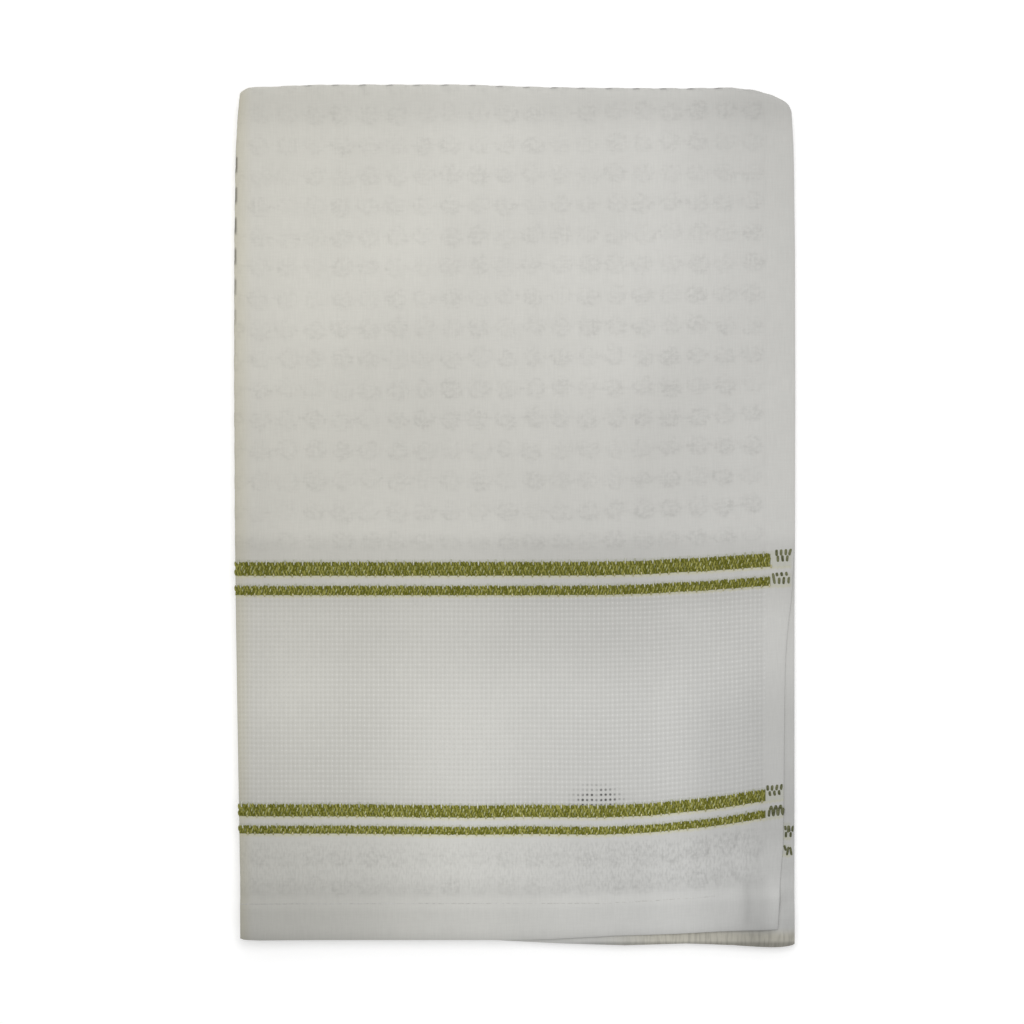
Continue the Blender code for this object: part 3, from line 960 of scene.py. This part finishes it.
olive_yarn = yarn_material("olive weft", (0.130, 0.133, 0.004, 1), (0.37, 0.36, 0.092, 1),
                           sheen=0.05, gloss=0.1)
olive = joined("olive_stripes", [grown_yarns(
    "olive_stripe", olive_yarn, (0.4, stripe.start + FLOAT_LENGTH / 2), FLOAT_PITCH,
    FLOAT_LENGTH, FLOAT_WIDTH, columns=round(stripe.side / FLOAT_PITCH), rows=stripe.rows,
    pitch_v=(stripe.end - stripe.start - FLOAT_LENGTH) / (stripe.rows - 1), turn=math.pi / 2,
    row_turn=0.30, thickness=0.42, arch=0.20, sink=0.10, stray=0.32, seed=stripe.seed)
    for stripe in OLIVE_STRIPES])
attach(olive, "root")


# ------------------------------------------------------------------ warp ties
# Pale warp ends cross the olive picks in slanting steps and hold them down: white ones
# over the upper edge of each stripe, dyed ones in it, yellowish ones at its lower edge.

TIE_PITCH, TIE_FIRST = 3.45, 1.9
# Rows of ties for a stripe with so many rows of floats. down is a share of its height,
# shift a share of the pitch, and lean is in radians.
Ties = namedtuple("Ties", "down shift length lean width finish")
TIE_ROWS = {
    3: ((0.06, 0.00, 2.1, 0.03, 0.54, "white"), (0.46, 0.31, 1.7, 0.30, 0.46, "dyed"),
        (0.70, 0.62, 1.6, 0.32, 0.44, "dyed"), (0.96, 0.85, 1.1, 0.05, 0.56, "yellow")),
    2: ((0.09, 0.15, 1.8, 0.03, 0.48, "white"), (0.52, 0.50, 1.5, 0.28, 0.44, "dyed"),
        (0.94, 0.80, 1.1, 0.05, 0.54, "yellow")),
}
TIE_FINISHES = {"white": ((0.40, 0.41, 0.28, 1), (0.68, 0.68, 0.58, 1)),
                "dyed": ((0.20, 0.21, 0.07, 1), (0.56, 0.57, 0.30, 1)),
                "yellow": ((0.34, 0.33, 0.12, 1), (0.66, 0.61, 0.36, 1))}
ties = []
for finish, colours in TIE_FINISHES.items():
    tie_yarn = yarn_material(finish + " warp ties", *colours)
    rows = [(stripe, seed, Ties(*row)) for stripe in OLIVE_STRIPES
            for seed, row in enumerate(TIE_ROWS[stripe.rows], stripe.seed + 5)]
    ties.append(joined(finish + "_warp_ties", [grown_yarns(
        "warp_ties", tie_yarn, (TIE_FIRST + row.shift * TIE_PITCH,
                                stripe.start + row.down * (stripe.end - stripe.start)),
        TIE_PITCH, row.length, row.width, columns=int(stripe.side / TIE_PITCH),
        turn=math.pi / 2 - row.lean, thickness=0.5, arch=0.46, sink=0.02, stray=0.34, seed=seed)
        for stripe, seed, row in rows if row.finish == finish]))
    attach(ties[-1], "root")


# ------------------------------------------------------------------ selvedge marks
# Past the last warp tie the olive weft goes on through the plain selvedge, and shows
# there only as short dark floats between the warp ends, in zigzag.

SELVEDGE_PITCH = 1.76
MARK_WIDTHS = (0.96, 0.84)      # on the front ply and on the second
Mark = namedtuple("Mark", "u v count length lean")
FRONT_MARKS = (
    (203.7, 179.4, 3, 2.4, 0.02), (208.8, 179.4, 1, 2.5, 0.28), (204.2, 181.7, 2, 2.4, -0.05),
    (207.7, 181.8, 1, 2.4, 0.15), (202.7, 189.2, 1, 4.7, -0.12), (203.9, 187.7, 3, 1.5, -0.2),
    (204.7, 190.2, 3, 2.6, 0.06), (200.4, 270.1, 1, 2.2, -0.05), (202.0, 270.3, 3, 2.2, 0.14),
    (201.2, 272.4, 3, 1.9, -0.12), (201.5, 278.0, 3, 1.8, 0.4), (201.9, 278.1, 3, 1.8, -0.4),
    (200.9, 279.9, 4, 2.8, 0.10), (202.3, 280.0, 3, 2.6, -0.14),
)
SECOND_MARKS = (
    (207.2, 271.6, 1, 1.6, -0.10), (208.3, 272.0, 1, 2.7, 0.10), (208.7, 271.9, 1, 2.6, -0.14),
    (209.9, 271.9, 1, 2.3, 0.05), (207.4, 274.1, 2, 2.0, 0.10), (207.1, 279.1, 1, 2.2, -0.28),
    (208.1, 280.3, 1, 3.4, 0.22), (209.3, 280.3, 1, 3.4, -0.18),
)
mark_yarn = yarn_material("olive weft in the selvedge", (0.080, 0.086, 0.030, 1),
                          (0.20, 0.205, 0.10, 1))
sided = [(side, Mark(*row)) for side, rows in ((1, FRONT_MARKS), (-1, SECOND_MARKS))
         for row in rows]
marks = joined("selvedge_marks", [grown_yarns(
    "selvedge_marks", mark_yarn, (mark.u * side, mark.v), SELVEDGE_PITCH * side, mark.length,
    MARK_WIDTHS[side < 0], columns=mark.count, wrong_side=side < 0,
    turn=math.pi / 2 - mark.lean * side, thickness=0.30, arch=0.14, sink=0.12, stray=0.04,
    seed=seed) for seed, (side, mark) in enumerate(sided, 60)])
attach(marks, "root")


# ------------------------------------------------------------------ hem stitches
# The hem is turned up and sewn with one line of white machine stitches, which pull the
# cloth in a little.

HEM_LINE, HEM_LINE_LENGTH, STITCH_PITCH = 307.6, 182, 2.55
thread = yarn_material("white thread", (0.50, 0.49, 0.45, 1), (0.68, 0.67, 0.64, 1), rough=0.7,
                       sheen=0.2)
stitches = grown_yarns(
    "hem_stitches", thread, (1.2, HEM_LINE), STITCH_PITCH, 2.5, 0.26,
    columns=int(HEM_LINE_LENGTH / STITCH_PITCH), arch=0.03, sink=0.10, stray=0.06, seed=90)
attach(stitches, "root")

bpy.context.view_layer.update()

# ------------------------------------------------------------------ floor, light, camera
# A sheet of white paper that glows a little, two soft boxes, a pale sky and a long lens
# straight above the towel.

FLOOR_HALF, FLOOR_Z = 2.0, -0.0003
CAMERA_PLACE, LENS = (-0.00094, 0.0015, 0.9134), 85
floor_mesh = bpy.data.meshes.new("floor")
floor_mesh.from_pydata([(x * FLOOR_HALF, y * FLOOR_HALF, FLOOR_Z)
                        for x, y in ((-1, -1), (1, -1), (1, 1), (-1, 1))], [], [(0, 1, 2, 3)])
floor_finish = bpy.data.materials.new("white paper")
floor_finish.use_nodes = True
paper = floor_finish.node_tree.nodes["Principled BSDF"]
for socket, amount in (("Base Color", (0.93, 0.93, 0.93, 1)), ("Roughness", 0.9),
                       ("Emission Color", (1, 1, 1, 1)), ("Emission Strength", 0.28)):
    paper.inputs[socket].default_value = amount
floor = plain_object("floor", floor_mesh)
floor.data.materials.append(floor_finish)

scene = bpy.context.scene
scene.view_settings.view_transform = "Standard"
camera = plain_object("camera", bpy.data.cameras.new("camera"))
camera.data.lens, camera.location = LENS, CAMERA_PLACE
scene.camera = camera
for name, size, power, place, turn in (
        ("soft box above", 0.24, 0.62, (0.01, 0.05, 0.42), (-0.06, 0.0, 0.0)),
        ("soft box behind", 0.50, 1.2, (0.05, 0.75, 0.45), (-1.03, 0.0, -0.05))):
    light = plain_object(name, bpy.data.lights.new(name, "AREA"))
    light.data.size, light.data.energy = size, power
    light.location, light.rotation_euler = place, turn
world = bpy.data.worlds.new("world")
scene.world = world
world.use_nodes = True
sky = world.node_tree.nodes["Background"]
sky.inputs["Color"].default_value = (1, 1, 1, 1)
sky.inputs["Strength"].default_value = 0.60
